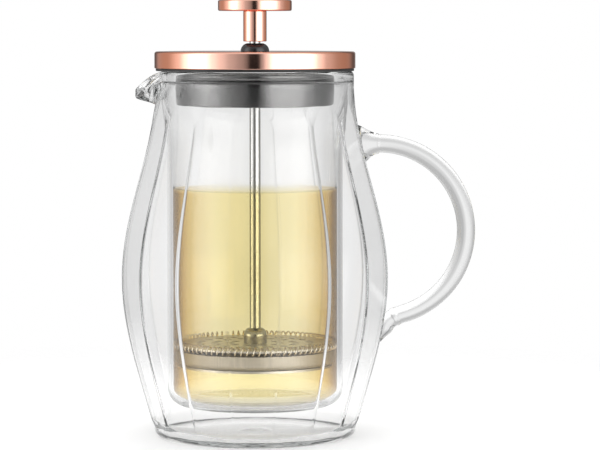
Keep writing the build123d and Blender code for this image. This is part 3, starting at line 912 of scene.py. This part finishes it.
def make_floor():
    """A pale round floor under the press, fading into the white studio."""
    sides = 96
    verts = [(FLOOR_R * math.cos(TAU * k / sides), FLOOR_R * math.sin(TAU * k / sides), 0)
             for k in range(sides)]
    mesh = bpy.data.meshes.new("floor")
    mesh.from_pydata(verts, [], [tuple(range(sides))])
    floor = bpy.data.objects.new("floor", mesh)
    bpy.context.scene.collection.objects.link(floor)
    floor.location.z = -FLOOR_DROP
    made, tree, shader = material("pale_floor")
    shader.inputs["Base Color"].default_value = (0.94, 0.94, 0.94, 1)
    shader.inputs["Roughness"].default_value = 0.7
    shader.inputs["Specular IOR Level"].default_value = 0.0
    coords = tree.nodes.new("ShaderNodeTexCoord")
    far = tree.nodes.new("ShaderNodeVectorMath")
    far.operation = "LENGTH"
    tree.links.new(coords.outputs["Object"], far.inputs[0])
    fade = spread(tree, far.outputs["Value"], *FLOOR_FADE, kind="SMOOTHSTEP")
    clear = tree.nodes.new("ShaderNodeBsdfTransparent").outputs[0]
    faded = choose(tree, fade, shader.outputs[0], clear)
    tree.links.new(faded, tree.nodes["Material Output"].inputs["Surface"])
    mesh.materials.append(made)


def grey(level):
    """A light level as a share of PEAK, since a colour ramp holds nothing above 1."""
    return (level / PEAK,) * 3


def bands(tree, share, levels):
    """A grey level for each azimuth round the press, 0 towards the camera and 90 to the handle."""
    node = tree.nodes.new("ShaderNodeValToRGB")
    tree.links.new(share, node.inputs["Fac"])
    node.color_ramp.interpolation = "EASE"
    set_stops(node.color_ramp, [(azimuth / 360 + 0.5, grey(level)) for azimuth, level in levels])
    return node.outputs["Color"]


def background(tree, colour, strength=1.0):
    """Light from all round, white where no colour is given."""
    node = tree.nodes.new("ShaderNodeBackground")
    node.inputs["Strength"].default_value = strength
    if colour is None:
        node.inputs["Color"].default_value = (1, 1, 1, 1)
    else:
        tree.links.new(colour, node.inputs["Color"])
    return node.outputs[0]


def choose(tree, share, first, second):
    """Mix two shaders."""
    node = tree.nodes.new("ShaderNodeMixShader")
    tree.links.new(share, node.inputs["Fac"])
    tree.links.new(first, node.inputs[1])
    tree.links.new(second, node.inputs[2])
    return node.outputs[0]


PEAK = 3.0
# (azimuth, level) of the light; mirrored light and light seen through glass differ behind the press
FRONT = [(-96, 1.1), (-86, 2.0), (-75, 2.9), (-60, 2.7), (-48, 1.5), (-38, 1.0), (-26, 0.6),
         (-14, 0.4), (-8, 0.22), (-5, 0.02), (-2, 0.02), (2, 0.02), (5, 0.02), (9, 0.45), (15, 1.2),
         (22, 2.4), (36, 2.9), (54, 2.9), (70, 2.4), (80, 1.3), (92, 0.72)]
MIRRORED = ([(-180, 0.4), (-160, 0.12), (-140, 0.55), (-118, 0.6)] + FRONT
            + [(112, 0.5), (132, 0.45), (156, 0.12), (180, 0.4)])
THROUGH = ([(-180, 0.87), (-168, 0.81), (-156, 0.68), (-140, 0.50), (-115, 0.40)] + FRONT
           + [(115, 0.38), (144, 0.42), (164, 0.47), (172, 0.66), (180, 0.87)])


def make_world():
    """A bright studio: white behind the glass, soft boxes at the front, darker gaps between them."""
    world = bpy.data.worlds.new("studio")
    bpy.context.scene.world = world
    world.use_nodes = True
    tree = world.node_tree
    coords = tree.nodes.new("ShaderNodeTexCoord")
    split = tree.nodes.new("ShaderNodeSeparateXYZ")
    tree.links.new(coords.outputs["Generated"], split.inputs[0])
    x, y, z = split.outputs
    turn = math_node(tree, "ARCTAN2", x, math_node(tree, "MULTIPLY", y, -1))
    share = math_node(tree, "ADD", math_node(tree, "DIVIDE", turn, TAU), 0.5)
    # overhead the studio is evenly bright, and what is seen through glass dims above and below level
    overhead = spread(tree, z, 0.45, 0.85)
    mirrored = tint(tree, overhead, bands(tree, share, MIRRORED), grey(0.9))
    through = tint(tree, spread(tree, z, 0.12, 0.30), bands(tree, share, THROUGH), grey(0.50))
    through = tint(tree, spread(tree, z, -0.10, -0.24), through, grey(0.66))
    through = tint(tree, overhead, through, grey(0.7))
    rays = tree.nodes.new("ShaderNodeLightPath").outputs
    shown = choose(tree, rays["Is Transmission Ray"], background(tree, mirrored, PEAK),
                   background(tree, through, PEAK))
    shown = choose(tree, rays["Is Diffuse Ray"], shown, background(tree, None, 1.25))
    shown = choose(tree, rays["Is Camera Ray"], shown, background(tree, None, 1.0))
    tree.links.new(shown, tree.nodes["World Output"].inputs["Surface"])


def make_camera():
    """A long lens almost level with the press, a little above its lid."""
    data = bpy.data.cameras.new("camera")
    data.lens = 164
    data.sensor_width = 36
    data.clip_end = 20
    camera = bpy.data.objects.new("camera", data)
    bpy.context.scene.collection.objects.link(camera)
    centre = Vector((20.4 * MM, 0, 96 * MM))
    eye = Vector((20.4 * MM, -1.24, 185 * MM))
    camera.location = eye
    camera.rotation_euler = (centre - eye).to_track_quat("-Z", "Y").to_euler()
    bpy.context.scene.camera = camera


def set_light_paths():
    """Plain colours, and enough bounces for light to leave the thick glass of the roots and foot."""
    scene = bpy.context.scene
    scene.view_settings.view_transform = "Standard"
    scene.cycles.max_bounces = 32
    scene.cycles.transmission_bounces = 32
    scene.cycles.transparent_max_bounces = 32
    scene.cycles.glossy_bounces = 32
    scene.cycles.use_denoising = True


make_carafe()
make_tea()
make_cap()
make_gasket()
make_skirt()
make_bushing()
make_shaft()
make_knob()
make_hub()
make_coil()
dress_cad()
make_floor()
make_world()
make_camera()
set_light_paths()
